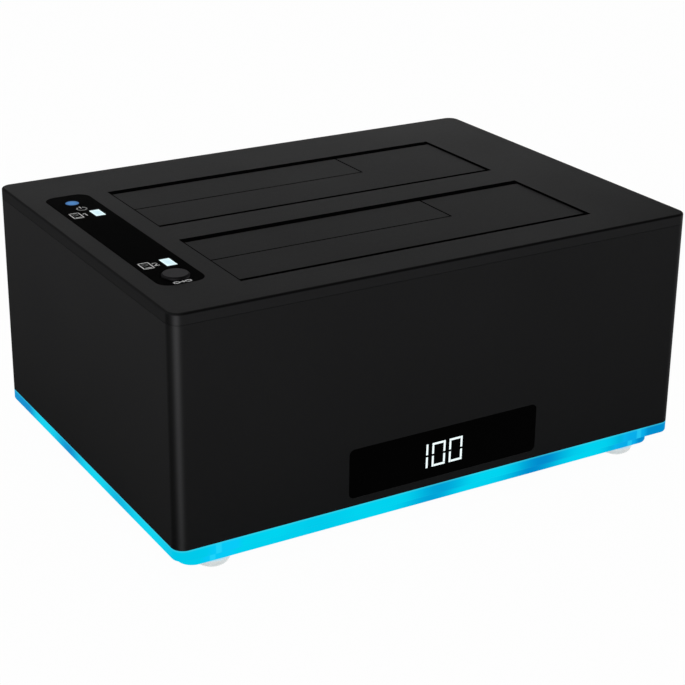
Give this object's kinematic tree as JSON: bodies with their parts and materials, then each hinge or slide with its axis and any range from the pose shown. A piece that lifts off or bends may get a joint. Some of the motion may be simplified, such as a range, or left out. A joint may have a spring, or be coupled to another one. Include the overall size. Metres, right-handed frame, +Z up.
{
  "type": "drive duplicator",
  "caption": "Box-shaped dual-bay drive dock and duplicator with sprung flaps in the top, a control strip, a front display window and a lit translucent base.",
  "frame": {"origin": "middle of the outline, at the level of the surface the feet stand on", "axes": "+X right along the front, +Y from front to back, +Z up"},
  "size_m": [0.1512, 0.1112, 0.0707],
  "materials": {
    "case": "satin black, fine spark texture",
    "light": "translucent, lit cyan from inside",
    "feet": "translucent soft",
    "well": "matte black",
    "flap": "satin black",
    "steel": "plain",
    "socket": "matte black",
    "board": "solder mask",
    "coil": "ferrite",
    "can": "sleeved can",
    "gloss": "polished black",
    "blue_guide": "lit blue",
    "white_guide": "lit white",
    "lamp": "lamp package",
    "button": "satin dark grey",
    "switch": "satin black",
    "module": "black display face",
    "lead": "flat white",
    "port": "plated shell"
  },
  "bodies": {
    "case": {"main_housing": "case", "top_cover": "case", "base_plate": "case", "light_base": "light", "rubber_feet": "feet", "front_bay_well": "well", "rear_bay_well": "well", "case_screws": "steel", "well_screws": "steel", "board_screws": "steel", "front_drive_flap_rod": "steel", "rear_drive_flap_rod": "steel", "front_small_flap_rod": "steel", "rear_small_flap_rod": "steel", "front_drive_socket": "socket", "rear_drive_socket": "socket", "display_header": "socket", "ribbon_connectors": "socket", "power_inlet": "socket", "controller_chips": "socket", "main_board": "board", "panel_board": "board", "display_board": "board", "smoothing_coil": "coil", "capacitors": "can", "control_panel": "gloss", "display_window": "gloss", "power_light_guide": "blue_guide", "source_light_guide": "white_guide", "target_light_guide": "white_guide", "panel_leds": "lamp", "light_strips": "lamp", "push_switch": "switch", "power_switch_frame": "switch", "display_module": "module", "light_leads": "lead", "panel_ribbon": "lead", "data_port": "port"},
    "front_drive_flap": {"front_drive_flap": "flap", "front_drive_flap_spring": "steel"},
    "front_small_flap": {"front_small_flap": "flap", "front_small_flap_spring": "steel"},
    "rear_drive_flap": {"rear_drive_flap": "flap", "rear_drive_flap_spring": "steel"},
    "rear_small_flap": {"rear_small_flap": "flap", "rear_small_flap_spring": "steel"},
    "clone_button": {"clone_button": "button", "push_switch_plunger": "switch"},
    "power_rocker": {"power_rocker": "switch"}
  },
  "joints": [
    {"name": "front_drive_flap_hinge", "type": "hinge", "parent": "case", "child": "front_drive_flap", "pos_m": [0, -0.04327, 0.06685], "axis": [-1, 0, 0], "range_deg": [0, 90], "stiffness_Nm_per_rad": 0.004, "springref_deg": -45.84},
    {"name": "front_small_flap_hinge", "type": "hinge", "parent": "case", "child": "front_small_flap", "pos_m": [0, -0.0102, 0.06685], "axis": [1, 0, 0], "range_deg": [0, 90], "stiffness_Nm_per_rad": 0.004, "springref_deg": -45.84},
    {"name": "rear_drive_flap_hinge", "type": "hinge", "parent": "case", "child": "rear_drive_flap", "pos_m": [0, 0.00197, 0.06685], "axis": [-1, 0, 0], "range_deg": [0, 90], "stiffness_Nm_per_rad": 0.004, "springref_deg": -45.84},
    {"name": "rear_small_flap_hinge", "type": "hinge", "parent": "case", "child": "rear_small_flap", "pos_m": [0, 0.03504, 0.06685], "axis": [1, 0, 0], "range_deg": [0, 90], "stiffness_Nm_per_rad": 0.004, "springref_deg": -45.84},
    {"name": "clone_button_press", "type": "slide", "parent": "case", "child": "clone_button", "axis": [0, 0, -1], "range_m": [0, 0.0006], "stiffness_N_per_m": 900},
    {"name": "power_rocker_tip", "type": "hinge", "parent": "case", "child": "power_rocker", "pos_m": [-0.04265, 0.05245, 0.0217], "axis": [-1, 0, 0], "range_deg": [0, 16]}
  ]
}
